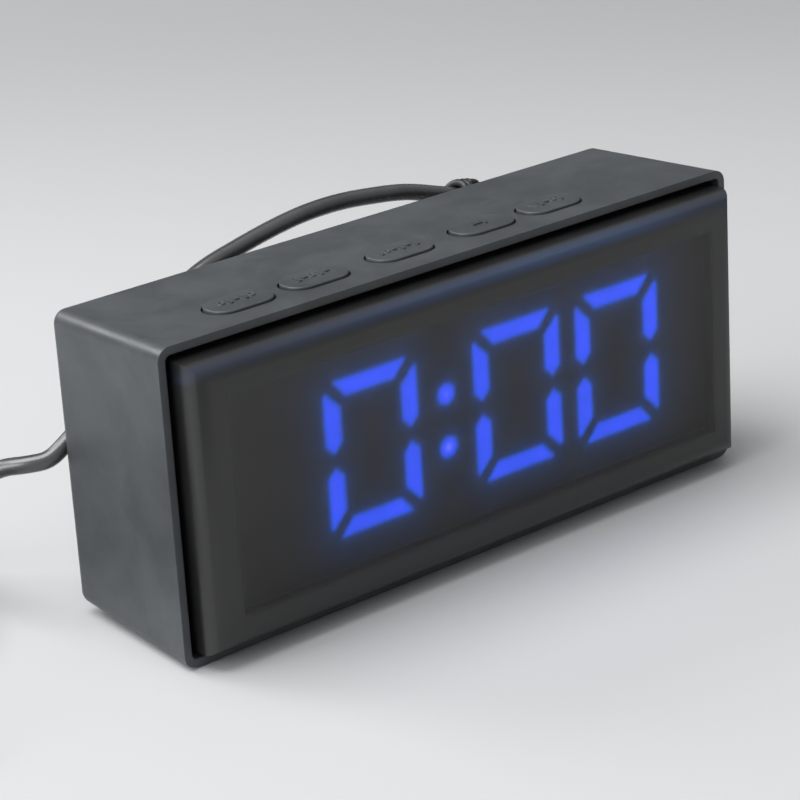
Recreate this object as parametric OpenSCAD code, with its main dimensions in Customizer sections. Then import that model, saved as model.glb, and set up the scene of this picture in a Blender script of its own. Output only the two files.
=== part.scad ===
// Small plug-in LED desk alarm clock, in millimetres.
// X runs along the width, -Y is the display side, +Z is up. The origin is the middle of the footprint.
// The case is one shell with a bare rim round a domed lens. The display stack, the boards and the keys sit
// inside it, a screwed cover closes the back, and the supply cord leaves through the cover.

/* [Case] */
// Width of the case at its front rim
case_w = 106.2; // [104:0.1:120]
// Height of the case at its front rim
case_h = 47; // [46:0.1:52]
// Depth of the case from the rim to the back
case_d = 27.3; // [27:0.1:34]
// How far each side closes in towards the back
draft = 1.1; // [0.4:0.1:1.4]
// Radius of the four long edges of the case
edge_r = 2; // [1:0.1:2.5]
// Width of the bare rim round the front
rim_w = 1.2; // [1:0.1:1.5]

/* [Lens] */
// Open gap between the rim and the lens
lens_gap = 1; // [0.6:0.1:1.2]
// How far the lens stands out in front of the rim
lens_out = 4.5; // [3.5:0.1:5]
// Radius that rounds the lens from its side walls to its face
lens_r = 3; // [2.5:0.1:3.5]
// Wall thickness of the lens
lens_t = 2; // [1.5:0.1:2.2]

/* [Display] */
// Middle of the display, left of the middle of the case
display_x = -5.1; // [-5.4:0.1:0]
// Height of the middle of the display
display_z = 23.4; // [22.5:0.1:24]
// Width of one digit
digit_w = 17.2; // [15:0.1:17.5]
// Height of one digit
digit_h = 23.9; // [20:0.1:24.2]
// Distance from digit to digit on either side of the colon
digit_pitch = 20.1; // [19:0.1:20.3]
// Distance from the middle of the display to the digit beside it
colon_pitch = 13.7; // [13:0.1:14]

/* [Keys] */
// Length of a key cap
key_l = 10.8; // [9:0.1:11.4]
// Width of a key cap
key_w = 6; // [5:0.1:6.4]
// How far a key stands above the case
key_up = 0.5; // [0.3:0.1:0.8]
// Travel of a key
key_travel = 0.5; // [0.3:0.1:0.6]

/* [Cord] */
// Diameter of the supply cord
cord_d = 2.6; // [2.4:0.1:2.8]
// Where the cord leaves the back cover, left to right
cord_x = 36; // [34:0.5:38]
// Where the cord leaves the back cover, in height
cord_z = 12; // [11:0.5:13]

/* [Hidden] */
$fn = 64;
eps = 0.05;
foot_h = 0.3;
front_y = -(case_d + lens_out) / 2;
rim_y = front_y + lens_out;
back_y = rim_y + case_d;
low_z = foot_h;
top_z = low_z + case_h;
mid_z = (low_z + top_z) / 2;
wall_x = case_w / 2 - 3.3;
floor_z = low_z + 3.2;
roof_z = top_z - 3.2;
ledge_y = rim_y + 3.7;

// lens outline and inner faces
lens_x = case_w / 2 - rim_w - lens_gap;
lens_lo = low_z + rim_w + lens_gap;
lens_hi = top_z - rim_w - lens_gap;

// display stack, front to back
face_y = rim_y - 0.75;
box_depth = 8.85;
box_half = 43.4;
box_tall = 12.7;
board_t = 1.6;
panel_y = face_y + box_depth;
main_y = panel_y + board_t + 4.7;
comp_y = main_y + board_t;
stroke_v = 3.3;
stroke_h = 3;
mitre = 0.8;

// keys
key_y = rim_y + 7.65;
key_x = [for (k = [-28.8, -15.6, 0, 15.6, 28.8]) display_x + k];
key_gap = 0.3;
flange = 0.55;
relief_z = top_z - 1.9;
key_low = relief_z - 1.1;
key_top = top_z - draft * (key_y - rim_y) / case_d + key_up;
stem_top = key_low - key_travel - 0.05;
key_board_z = panel_z_hi() + 0.6;
key_board_t = 1.2;

// back cover, cell and cap
cover_t = 2.2;
cover_y = back_y - cover_t;
cell_x = -28;
cell_z = 22;
cap_r = 12;
cap_fit = 0.35;
boss_x = wall_x - 3.5;
boss_lo = floor_z + 3.7;
boss_hi = roof_z - 3.7;
vent_x = 2;

// raised marks on the keys, from one to the next
mark_pitch = 1.3;

// cord: points chosen by hand, each a few diameters from the last
relief_tip = back_y + 12.1;
lead_route = [
    [36, 28, 12], [36, 34, 12.1], [36.4, 39, 13.6], [37.4, 42.4, 17.4], [38.6, 43.2, 22.4],
    [39.6, 41.4, 27.6], [40, 37.6, 32.2], [39.6, 32.6, 36], [38, 27.8, 38.8], [34.4, 24, 40.5],
    [29.4, 22.4, 41.8], [24, 22.3, 43.5], [17.4, 22.3, 45.4], [10.4, 22.3, 46.4], [4, 22.3, 46.9],
    [-2.4, 22.3, 46.7], [-8.8, 22.3, 45.8], [-15, 22.3, 44.5], [-21, 22.3, 43], [-26.8, 22, 40.6],
    [-32, 21.5, 37.2], [-36.6, 20.7, 33.6], [-41.4, 19.6, 30.4], [-46, 18.5, 27.9], [-50.2, 18, 25.4],
    [-53.2, 18.4, 23.6], [-55.8, 20, 23.1], [-58.4, 23, 22.4], [-61, 26.6, 20], [-62.4, 31, 16.4],
    [-62.6, 35.6, 12.4], [-62.9, 40.2, 9.4], [-65, 45, 6.9]];
tail_route = [
    [-102, 33.5, 4.4], [-102, 29, 4.3], [-102, 25, 4.1], [-102, 21, 3.9], [-102, 17, 3.8]];
coil_at = [-82.8, 33.5];
coil_mid = 14;
coil_lanes = 5;
coil_layers = 2;
coil_lift = 0.5;
tie_at = 10;
plug_x = -102;
plug_y = 17;
plug_z = 3.8;

function panel_z_lo() = display_z - box_tall - 1.2;
function panel_z_hi() = display_z + box_tall + 1.9;
function inset(y) = draft * (y - rim_y) / case_d;

// ---------------------------------------------------------------- shared shapes

// rounded rectangle from exact squares and circles, centred
module round_rect(w, h, r) {
    square([w - 2 * r, h], center = true);
    square([w, h - 2 * r], center = true);
    for (x = [-1, 1], y = [-1, 1])
        translate([x * (w / 2 - r), y * (h / 2 - r)])
            circle(r = r);
}

// slot with round ends along X, centred
module stadium(l, w) {
    square([l - w, w], center = true);
    for (x = [-1, 1])
        translate([x * (l - w) / 2, 0])
            circle(d = w);
}

// draws a flat XZ outline and gives it depth along +Y from y
module upright(y, depth) {
    translate([0, y + depth, 0])
        rotate([90, 0, 0])
            linear_extrude(height = depth)
                children();
}

// cylinder along Y that starts at y
module y_rod(x, y, z, r, l) {
    translate([x, y + l, z])
        rotate([90, 0, 0])
            cylinder(r = r, h = l);
}

// screw along -Y: the head lies behind y and the shank reaches forward from it
module screw(x, y, z, head_r, head_t, shank_r, shank_l) {
    difference() {
        union() {
            y_rod(x, y, z, head_r, head_t);
            y_rod(x, y - shank_l, z, shank_r, shank_l + eps);
        }
        translate([x, y + head_t, z])
            for (a = [0, 90])
                rotate([0, a, 0])
                    cube([head_r * 1.1, head_t, 0.45], center = true);
    }
}

// one slice of the tapered case at y, drawn in by more
module case_slice(y, more) {
    upright(y - 0.01, 0.01)
        translate([0, mid_z])
            round_rect(case_w - 2 * inset(y) - 2 * more, case_h - 2 * inset(y) - 2 * more,
                edge_r - more / 2);
}

module case_block() {
    hull() {
        case_slice(rim_y + 0.01, 0);
        for (a = [0, 30, 60, 90])
            case_slice(back_y - 1 + sin(a), 1 - cos(a));
    }
}

// box whose front edges are rounded and mitred at the corners: side x, heights lo..hi, y from front to back
module domed(x, lo, hi, front, back, r, corner) {
    intersection() {
        translate([-x, 0, 0])
            rotate([90, 0, 90])
                linear_extrude(height = 2 * x) {
                    translate([front, lo + r])
                        square([back - front, hi - lo - 2 * r]);
                    translate([front + r, lo])
                        square([back - front - r, hi - lo]);
                    for (z = [lo + r, hi - r])
                        translate([front + r, z])
                            circle(r = r);
                }
        translate([0, 0, lo])
            linear_extrude(height = hi - lo) {
                translate([r - x, front])
                    square([2 * x - 2 * r, back - front]);
                translate([-x, front + r])
                    square([2 * x, back - front - r]);
                for (s = [-1, 1])
                    translate([s * (x - r), front + r])
                        circle(r = r);
            }
        upright(front, back - front)
            translate([0, (lo + hi) / 2])
                round_rect(2 * x, hi - lo, corner);
    }
}

// ---------------------------------------------------------------- case and lens

module case_shell() {
    color([0.07, 0.07, 0.075])
        difference() {
            union() {
                difference() {
                    case_block();
                    // pocket that the lens stands in
                    upright(rim_y - 1, ledge_y - rim_y + 1)
                        translate([0, mid_z])
                            round_rect(case_w - 2 * rim_w, case_h - 2 * rim_w, 0.9);
                    // room for the display and the boards, open at the back
                    upright(ledge_y - 1, case_d)
                        translate([0, (floor_z + roof_z) / 2])
                            round_rect(2 * wall_x, roof_z - floor_z, 2);
                }
                // corner bosses for the cover screws, tied to the side walls
                for (s = [-1, 1], z = [boss_lo, boss_hi]) {
                    y_rod(s * boss_x, comp_y, z, 3, cover_y - comp_y);
                    translate([s * (boss_x + 2) - 2, comp_y, z - 1.5])
                        cube([4, cover_y - comp_y, 3]);
                }
                // ribs that the boards stand on
                for (x = [-30, 0, 22])
                    translate([x - 1, panel_y - 1, floor_z - 1])
                        cube([2, comp_y - panel_y + 2, panel_z_lo() - floor_z + 1]);
            }
            // pilot holes in the bosses
            for (s = [-1, 1], z = [boss_lo, boss_hi])
                y_rod(s * boss_x, cover_y - 7.5, z, 1.12, 8);
            // openings for the keys, with room for their flanges below
            for (x = key_x)
                translate([x, key_y, relief_z - eps])
                    linear_extrude(height = 4)
                        stadium(key_l + 2 * key_gap, key_w + 2 * key_gap);
            translate([key_x[0] - 8, key_y - 4.7, roof_z - 1])
                cube([key_x[4] - key_x[0] + 16, 9.4, relief_z - roof_z + 1]);
            // seats for the feet
            for (x = [-42, 42]) {
                translate([x, rim_y + 6, -1])
                    cylinder(r = 4.05, h = 2.5);
                translate([x, back_y - 6, -1])
                    cylinder(r = 4.05, h = 3.2);
            }
        }
}

module front_lens() {
    color([0.16, 0.16, 0.17])
        difference() {
            domed(lens_x, lens_lo, lens_hi, front_y, ledge_y, lens_r, 1);
            domed(lens_x - lens_t, lens_lo + lens_t, lens_hi - lens_t, front_y + lens_t,
                ledge_y + 1, lens_r - lens_t + 0.01, 0.5);
        }
}

// ---------------------------------------------------------------- display stack

// black plate round the light box, seen faintly through the lens
module display_mask() {
    color([0.03, 0.03, 0.03])
        difference() {
            upright(face_y + 1.9, 1.2)
                translate([0, mid_z])
                    round_rect(2 * (lens_x - lens_t) - 0.5, lens_hi - lens_lo - 2 * lens_t - 0.5, 0.6);
            translate([display_x - box_half - 0.1, face_y, display_z - box_tall - 0.1])
                cube([2 * box_half + 0.2, 5, 2 * box_tall + 0.2]);
        }
}

// the light guides of one digit, lower left corner at the origin
module segment_top() {
    polygon([
        [mitre + 0.7, digit_h], [digit_w - mitre - 0.7, digit_h],
        [digit_w - stroke_v - mitre, digit_h - stroke_h], [stroke_v + mitre, digit_h - stroke_h]]);
}

module segment_side() {
    polygon([
        [0, digit_h - mitre - 0.3], [stroke_v, digit_h - stroke_v - mitre],
        [stroke_v, digit_h / 2 + stroke_v / 2 + mitre], [stroke_v / 2, digit_h / 2 + mitre],
        [0, digit_h / 2 + stroke_v / 2 + mitre]]);
}

module segment_middle() {
    polygon([
        [stroke_v / 2 + mitre, digit_h / 2], [stroke_v + mitre, digit_h / 2 + stroke_h / 2],
        [digit_w - stroke_v - mitre, digit_h / 2 + stroke_h / 2],
        [digit_w - stroke_v / 2 - mitre, digit_h / 2],
        [digit_w - stroke_v - mitre, digit_h / 2 - stroke_h / 2],
        [stroke_v + mitre, digit_h / 2 - stroke_h / 2]]);
}

module ring_of_segments() {
    segment_top();
    translate([0, digit_h])
        mirror([0, 1])
            segment_top();
    for (mx = [0, 1], my = [0, 1])
        translate([mx * digit_w, my * digit_h])
            mirror([mx, 0])
                mirror([0, my])
                    segment_side();
}

module at_digit(k) {
    x = [-colon_pitch - digit_pitch, -colon_pitch, colon_pitch, colon_pitch + digit_pitch];
    translate([display_x + x[k] - digit_w / 2, display_z - digit_h / 2])
        children();
}

module dots() {
    for (z = [-1, 1])
        translate([display_x, display_z + z * 4.1])
            circle(d = 3.8);
}

module light_box() {
    color([0.04, 0.04, 0.04])
        difference() {
            union() {
                translate([display_x - box_half, face_y, display_z - box_tall])
                    cube([2 * box_half, box_depth, 2 * box_tall]);
                // shoulders that carry the mask and the key board
                translate([display_x - box_half, face_y + 3.1, panel_z_lo()])
                    cube([2 * box_half, box_depth - 3.1, panel_z_hi() - panel_z_lo() - 0.6]);
                for (x = [-36, 26])
                    translate([x - 2, face_y + 3.6, panel_z_hi() - 1])
                        cube([4, 3, 1.6]);
            }
            upright(face_y - 1, box_depth + 2) {
                for (k = [0:3])
                    at_digit(k) {
                        ring_of_segments();
                        segment_middle();
                    }
                dots();
            }
            for (x = [-38, 28], z = [panel_z_lo() + 1.1, panel_z_hi() - 2])
                y_rod(display_x + 5 + x, panel_y - 4, z, 0.82, 5);
        }
}

module diffuser_film() {
    color([0.2, 0.2, 0.22])
        upright(face_y - 0.25, 0.25)
            translate([0, mid_z])
                round_rect(2 * (lens_x - lens_t) - 1, lens_hi - lens_lo - 2 * lens_t - 1.2, 0.5);
}

module segments_lit() {
    color([0.16, 0.25, 1])
        upright(face_y, 2)
            for (k = [1:3])
                at_digit(k)
                    ring_of_segments();
}

module segments_unlit() {
    color([0.1, 0.1, 0.11])
        upright(face_y, 2) {
            at_digit(0) {
                ring_of_segments();
                segment_middle();
            }
            for (k = [1:3])
                at_digit(k)
                    segment_middle();
        }
}

module colon_dots() {
    color([0.3, 0.38, 1])
        upright(face_y, 2)
            dots();
}

module display_board() {
    color([0.06, 0.16, 0.1])
        difference() {
            translate([display_x - box_half, panel_y, panel_z_lo()])
                cube([2 * box_half, board_t, panel_z_hi() - panel_z_lo() - 0.6]);
            for (x = [-38, 28], z = [panel_z_lo() + 1.1, panel_z_hi() - 2])
                y_rod(display_x + 5 + x, panel_y - 1, z, 1.05, 4);
        }
}

// one lamp behind each light guide
module led_chips() {
    color([0.9, 0.88, 0.7])
        for (k = [0:3], p = [
            [digit_w / 2, digit_h - 1.3], [digit_w / 2, digit_h / 2], [digit_w / 2, 1.3],
            [1.5, digit_h * 0.74], [digit_w - 1.5, digit_h * 0.74],
            [1.5, digit_h * 0.26], [digit_w - 1.5, digit_h * 0.26]]) {
            x = [-colon_pitch - digit_pitch, -colon_pitch, colon_pitch, colon_pitch + digit_pitch];
            translate([display_x + x[k] - digit_w / 2 + p[0] - 0.8, panel_y - 0.8,
                display_z - digit_h / 2 + p[1] - 0.4])
                cube([1.6, 0.8, 0.8]);
        }
    color([0.9, 0.88, 0.7])
        for (z = [-1, 1])
            translate([display_x - 0.8, panel_y - 0.8, display_z + z * 4.1 - 0.4])
                cube([1.6, 0.8, 0.8]);
}

// ---------------------------------------------------------------- boards and parts on them

module board_spacers() {
    color([0.75, 0.75, 0.72])
        for (x = [-38, 28], z = [panel_z_lo() + 1.9, panel_z_hi() - 2.8])
            difference() {
                y_rod(display_x + 5 + x, panel_y + board_t, z, 1.9, main_y - panel_y - board_t);
                y_rod(display_x + 5 + x, panel_y, z + (z > display_z ? 0.8 : -0.8), 1.05, 10);
            }
}

module main_board() {
    color([0.05, 0.2, 0.12])
        difference() {
            translate([-43, main_y, panel_z_lo()])
                cube([79, board_t, panel_z_hi() - panel_z_lo() - 0.6]);
            for (x = [-38, 28], z = [panel_z_lo() + 1.1, panel_z_hi() - 2])
                y_rod(display_x + 5 + x, main_y - 1, z, 1.05, 4);
        }
}

module board_screws() {
    color([0.7, 0.7, 0.72])
        for (x = [-38, 28], z = [panel_z_lo() + 1.1, panel_z_hi() - 2])
            screw(display_x + 5 + x, comp_y, z, 1.9, 1.2, 0.8, comp_y - panel_y + 3.5);
}

module controller() {
    color([0.05, 0.05, 0.055])
        difference() {
            translate([17, comp_y + 0.15, 19])
                cube([7.5, 1.9, 13]);
            y_rod(18.4, comp_y + 1.85, 30.8, 0.5, 1);
        }
}

module controller_legs() {
    color([0.78, 0.78, 0.78])
        for (k = [0:9], s = [0, 1])
            translate([s ? 24.5 : 15.8, comp_y, 19.6 + k * 1.27]) {
                cube([1.2, 0.2, 0.42]);
                translate([s ? 0 : 0.95, 0.2, 0])
                    cube([0.25, 0.9, 0.42]);
            }
}

module crystal_can() {
    color([0.8, 0.8, 0.8])
        translate([9.5, comp_y + 1.6, 27])
            linear_extrude(height = 8)
                stadium(4.6, 3.2);
}

module capacitors() {
    color([0.12, 0.14, 0.3]) {
        y_rod(-9, comp_y, 32, 2.5, 7.5);
        y_rod(-9, comp_y, 14, 2.5, 7.5);
        y_rod(10, comp_y, 13.5, 3.15, 7);
    }
}

module buzzer() {
    color([0.06, 0.06, 0.06])
        difference() {
            y_rod(vent_x - 1, comp_y, 23, 5, 6.5);
            y_rod(vent_x - 1, comp_y + 5, 23, 1, 3);
        }
}

module supply_socket() {
    color([0.88, 0.86, 0.78])
        difference() {
            translate([27.6, comp_y, 22.2])
                cube([7.5, 5.5, 5.8]);
            translate([28.6, comp_y + 1.4, 21])
                cube([5.5, 2.8, 5.5]);
        }
}

// the cord's two cores, from the strain relief to their socket
module supply_wires() {
    color([0.7, 0.05, 0.05])
        for (s = [-1, 1]) {
            x = cord_x - 4.6 + s * 0.9;
            y_rod(cord_x + s * 0.9, comp_y + 2.8, cord_z, 0.55, cover_y - comp_y - 3.8);
            translate([cord_x + s * 0.9, comp_y + 2.8, cord_z])
                sphere(r = 0.55);
            translate([cord_x + s * 0.9, comp_y + 2.8, cord_z])
                rotate([0, atan2(x - cord_x - s * 0.9, 10), 0])
                    cylinder(r = 0.55, h = norm([x - cord_x - s * 0.9, 10]));
        }
}

// ---------------------------------------------------------------- keys

module key_board() {
    color([0.05, 0.2, 0.12])
        translate([key_x[0] - 7, key_y - 4.4, key_board_z])
            cube([key_x[4] - key_x[0] + 14, 9, key_board_t]);
}

module key_switches() {
    color([0.16, 0.16, 0.17])
        for (x = key_x)
            translate([x - 3, key_y - 3, key_board_z + key_board_t])
                cube([6, 6, stem_top - 0.7 - key_board_z - key_board_t]);
}

module key_stems() {
    color([0.1, 0.1, 0.1])
        for (x = key_x)
            translate([x, key_y, stem_top - 0.7])
                cylinder(r = 1.75, h = 0.7);
}

// flat cable from the key board to the main board
module key_ribbon() {
    color([0.55, 0.55, 0.58])
        difference() {
            translate([-24, key_y + 2.6, key_board_z - 0.4])
                cube([10, comp_y - key_y - 1.8, 0.4]);
            translate([-24.5, comp_y + 0.5, key_board_z - 1])
                cube([11, 2, 2]);
        }
    color([0.55, 0.55, 0.58])
        translate([-24, comp_y, key_board_z - 6])
            cube([10, 0.5, 6]);
}

// raised marks on the key caps: rows of plain shapes with no lettering
function key_marks(n) = [
    ["ring", "bar", "dash", "bar", "ring"], ["bar", "dash", "ring", "bar", "dash"],
    ["bar", "ring", "dash", "bar", "dash", "bar"], ["rise", "bar"],
    ["fall", "bar", "dash", "ring", "bar"]][n];

module key_mark(kind) {
    if (kind == "ring")
        difference() {
            circle(d = 1.3);
            circle(d = 0.6);
        }
    if (kind == "bar")
        translate([-0.27, -0.95])
            square([0.54, 1.9]);
    if (kind == "dash")
        translate([-0.45, -0.3])
            square([0.9, 0.6]);
    if (kind == "rise")
        polygon([[-0.8, -0.8], [0.8, -0.8], [0, 0.9]]);
    if (kind == "fall")
        polygon([[-0.8, 0.8], [0.8, 0.8], [0, -0.9]]);
}

module key_sign(n) {
    row = key_marks(n);
    for (i = [0:len(row) - 1])
        translate([(i - (len(row) - 1) / 2) * mark_pitch, 0.5])
            key_mark(row[i]);
}

module key_cap(n) {
    color([0.08, 0.08, 0.085])
        translate([key_x[n], key_y, 0]) {
            translate([0, 0, key_low])
                linear_extrude(height = key_top - key_low)
                    stadium(key_l, key_w);
            translate([0, 0, key_low])
                linear_extrude(height = relief_z - 0.15 - key_low)
                    stadium(key_l + 2 * flange, key_w + 2 * flange);
            translate([0, 0, key_top - eps])
                linear_extrude(height = 0.25)
                    key_sign(n);
        }
}

module button_1() { key_cap(0); }
module button_2() { key_cap(1); }
module button_3() { key_cap(2); }
module button_4() { key_cap(3); }
module button_5() { key_cap(4); }

// ---------------------------------------------------------------- back cover and backup cell

module rear_cover() {
    color([0.07, 0.07, 0.075])
        difference() {
            union() {
                upright(cover_y, cover_t)
                    translate([0, (floor_z + roof_z) / 2])
                        round_rect(2 * wall_x - 0.4, roof_z - floor_z - 0.4, 1.8);
                // posts that press on the main board
                for (p = [[-5, 35.4], [-40.8, 30.5], [13, 35.4]])
                    y_rod(p[0], comp_y, p[1], 1.3, cover_y - comp_y + eps);
            }
            // screw seats
            for (s = [-1, 1], z = [boss_lo, boss_hi]) {
                y_rod(s * boss_x, cover_y - 1, z, 1.3, 5);
                y_rod(s * boss_x, cover_y + 1, z, 2.5, 5);
            }
            // seat, ledge and lug ways of the cell cap
            y_rod(cell_x, cover_y + 0.9, cell_z, cap_r + cap_fit, 5);
            y_rod(cell_x, cover_y - 1, cell_z, cap_r - 1.2, 5);
            for (a = [45, 165, 285])
                translate([cell_x, cover_y - 1, cell_z])
                    rotate([0, a, 0])
                        translate([0, 0, -2.9])
                            cube([cap_r, 4, 5.8]);
            // sound slots
            for (k = [-3:3])
                upright(cover_y - 1, 5)
                    translate([vent_x - 1, 23 + k * 2.4])
                        stadium(12, 1.1);
            // seat of the rating label
            translate([15, back_y - 0.3, 24])
                cube([28, 1, 13]);
            // cord hole
            y_rod(cord_x, cover_y - 1, cord_z, 3, 5);
        }
}

module cover_screws() {
    color([0.35, 0.35, 0.37])
        for (s = [-1, 1], z = [boss_lo, boss_hi])
            screw(s * boss_x, cover_y + 1, z, 2.2, 0.9, 1.1, 7.5);
}

module rating_label() {
    color([0.7, 0.7, 0.7])
        translate([15.3, back_y - 0.3, 24.3])
            cube([27.4, 0.2, 12.4]);
}

// quarter-turn cap with a coin slot and three lugs behind the cover's ledge
module cell_cap() {
    color([0.08, 0.08, 0.085])
        difference() {
            union() {
                y_rod(cell_x, cover_y + 1.2, cell_z, cap_r, cover_t - 1.25);
                y_rod(cell_x, cover_y - 1.4, cell_z, cap_r - 1.6, 2.7);
                intersection() {
                    y_rod(cell_x, cover_y - 1.4, cell_z, cap_r - 0.3, 1);
                    for (a = [0, 120, 240])
                        translate([cell_x, cover_y - 1.4, cell_z])
                            rotate([0, a, 0])
                                translate([0, 0, -2.4])
                                    cube([cap_r, 1, 4.8]);
                }
            }
            upright(back_y - 0.9, 2)
                translate([cell_x, cell_z])
                    rotate(45)
                        stadium(15, 2);
            y_rod(cell_x + 9.6, back_y - 0.45, cell_z, 0.7, 2);
        }
}

// open cup on the main board that holds the coin cell
module cell_cup() {
    color([0.12, 0.12, 0.12])
        difference() {
            y_rod(cell_x, comp_y, cell_z, 11.6, 6.6);
            y_rod(cell_x, comp_y + 2.2, cell_z, 10.3, 6);
            translate([cell_x - 4, comp_y + 1, cell_z - 1.4])
                cube([8, 3, 2.8]);
        }
}

module backup_cell() {
    color([0.8, 0.8, 0.82]) {
        y_rod(cell_x, comp_y + 2.9, cell_z, 8.6, 0.5);
        y_rod(cell_x, comp_y + 3.4, cell_z, 10, 2.7);
    }
}

module cell_contacts() {
    color([0.85, 0.75, 0.45]) {
        translate([cell_x - 3.6, comp_y + 1, cell_z - 1.1])
            cube([7.2, 0.3, 2.2]);
        translate([cell_x + 2.4, comp_y + 1.25, cell_z - 1.1])
            cube([0.3, 1.65, 2.2]);
    }
}

module feet() {
    color([0.1, 0.1, 0.1])
        for (x = [-42, 42]) {
            translate([x, rim_y + 6, 0])
                cylinder(r = 4, h = 1.5);
            translate([x, back_y - 6, 0])
                cylinder(r = 4, h = 2.2);
        }
}

// ---------------------------------------------------------------- cord

module strain_relief() {
    color([0.06, 0.06, 0.06]) {
        y_rod(cord_x, cover_y - 1, cord_z, 4, 1);
        y_rod(cord_x, cover_y - eps, cord_z, 3, cover_t + 2 * eps);
        y_rod(cord_x, back_y, cord_z, 3.8, 1.2);
        translate([cord_x, relief_tip, cord_z])
            rotate([90, 0, 0])
                cylinder(r1 = cord_d / 2 + 0.6, r2 = 3, h = relief_tip - back_y - 1.1);
        for (k = [0:2])
            y_rod(cord_x, back_y + 2.8 + 2.6 * k, cord_z, 3.05 - 0.25 * k, 1.2);
    }
}

function unit(v) = v / norm(v);
// direction of a route at point i
function along(p, i) = unit(p[min(i + 1, len(p) - 1)] - p[max(i - 1, 0)]);
// a first side vector, carried from point to point so that the rings don't twist
function carry(p, i) = i == 0
    ? unit(cross(along(p, 0), [0.01, 0.02, 1]))
    : let (c = carry(p, i - 1), d = along(p, i)) unit(c - (c * d) * d);

// eight-sided tube along a route
module swept(p, r) {
    n = 8;
    sides = [for (i = [0:len(p) - 1]) let (u = carry(p, i), v = cross(along(p, i), u))
        [for (k = [0:n - 1]) p[i] + r * (u * cos(k * 360 / n) + v * sin(k * 360 / n))]];
    rings = [for (s = sides, q = s) q];
    m = len(p);
    walls = [for (i = [0:m - 2], k = [0:n - 1])
        [i * n + k, i * n + (k + 1) % n, (i + 1) * n + (k + 1) % n, (i + 1) * n + k]];
    tris = [for (w = walls, t = [[w[0], w[1], w[2]], [w[0], w[2], w[3]]]) [t[2], t[1], t[0]]];
    polyhedron(points = rings, faces = concat(tris,
        [[for (k = [0:n - 1]) k]], [[for (k = [n - 1:-1:0]) (m - 1) * n + k]]));
}

module cord_lead() {
    color([0.05, 0.05, 0.05])
        swept(lead_route, cord_d / 2);
}

module cord_tail() {
    color([0.05, 0.05, 0.05])
        swept(tail_route, cord_d / 2);
}

// outer shape of the wound cord
module cord_coil() {
    half = coil_lanes * cord_d / 2;
    color([0.05, 0.05, 0.05])
        translate([coil_at[0], coil_at[1], coil_lift])
            rotate_extrude()
                translate([coil_mid, coil_layers * cord_d / 2])
                    round_rect(2 * half, coil_layers * cord_d, 1.2);
}

// wire tie left on the arch of the cord: wraps and a short bent end
module lead_tie() {
    p = lead_route[tie_at];
    d = along(lead_route, tie_at);
    color([0.04, 0.04, 0.04])
        translate(p)
            rotate([0, acos(d[2]), atan2(d[1], d[0])]) {
                for (k = [-1.2, 0, 1.2])
                    translate([0, 0, k])
                        rotate_extrude()
                            translate([cord_d / 2 + 0.5, 0])
                                circle(d = 1.3);
            }
    color([0.04, 0.04, 0.04])
        translate(p + [0.8, -0.2, 1.2])
            rotate([0, 96, 0]) {
                cylinder(d = 1.3, h = 2.8);
                translate([0, 0, 2.8])
                    sphere(d = 1.3);
            }
}

// wire tie round one side of the coil
module coil_tie() {
    half = coil_lanes * cord_d / 2;
    tall = coil_layers * cord_d;
    color([0.04, 0.04, 0.04])
        translate([coil_at[0] - 1.5, coil_at[1] - coil_mid, coil_lift + tall / 2])
            rotate([90, 0, 90])
                linear_extrude(height = 3)
                    difference() {
                        round_rect(2 * half + 1, tall + 1, 1.4);
                        round_rect(2 * half, tall, 1.2);
                    }
}

// ---------------------------------------------------------------- plug

// places the plug, drawn along +Y from its neck
module at_plug() {
    translate([plug_x, plug_y, plug_z])
        rotate(180)
            children();
}

module plug_body() {
    color([0.06, 0.06, 0.06])
        at_plug() {
            translate([0, 20, 0])
                rotate([90, 0, 0])
                    linear_extrude(height = 16)
                        round_rect(11.4, 7.6, 2);
            for (k = [0:2])
                y_rod(0, 1.4 * k, 0, 2.2 + 0.3 * k, 1);
            y_rod(0, 0, 0, 1.9, 4.5);
        }
}

module plug_shell() {
    color([0.78, 0.78, 0.8])
        at_plug()
            difference() {
                translate([-6, 20, -2.25])
                    cube([12, 12, 4.5]);
                translate([-5.7, 20.3, -1.95])
                    cube([11.4, 13, 3.9]);
                for (x = [-2.6, 2.6])
                    translate([x - 1, 24.5, -4])
                        cube([2, 2.2, 8]);
            }
}

module plug_tongue() {
    color([0.9, 0.9, 0.88])
        at_plug()
            translate([-5.6, 20.3, -1.9])
                cube([11.2, 11, 1.9]);
}

module plug_contacts() {
    color([0.85, 0.7, 0.35])
        at_plug()
            for (x = [-3.5, -1, 1, 3.5])
                translate([x - 0.5, 22, 0])
                    cube([1, 8.6, 0.15]);
}

case_shell();
front_lens();
display_mask();
light_box();
diffuser_film();
segments_lit();
segments_unlit();
colon_dots();
display_board();
led_chips();
board_spacers();
main_board();
board_screws();
controller();
controller_legs();
crystal_can();
capacitors();
buzzer();
supply_socket();
supply_wires();
key_board();
key_switches();
key_stems();
key_ribbon();
cell_cup();
backup_cell();
cell_contacts();
button_1();
button_2();
button_3();
button_4();
button_5();
rear_cover();
cover_screws();
rating_label();
cell_cap();
feet();
strain_relief();
cord_lead();
lead_tie();
cord_coil();
coil_tie();
cord_tail();
plug_body();
plug_shell();
plug_tongue();
plug_contacts();
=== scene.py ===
"""Desk alarm clock with blue digits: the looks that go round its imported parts, laid out as an add-on."""

import math

import bmesh
import bpy
from mathutils import Matrix, Quaternion, Vector


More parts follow.
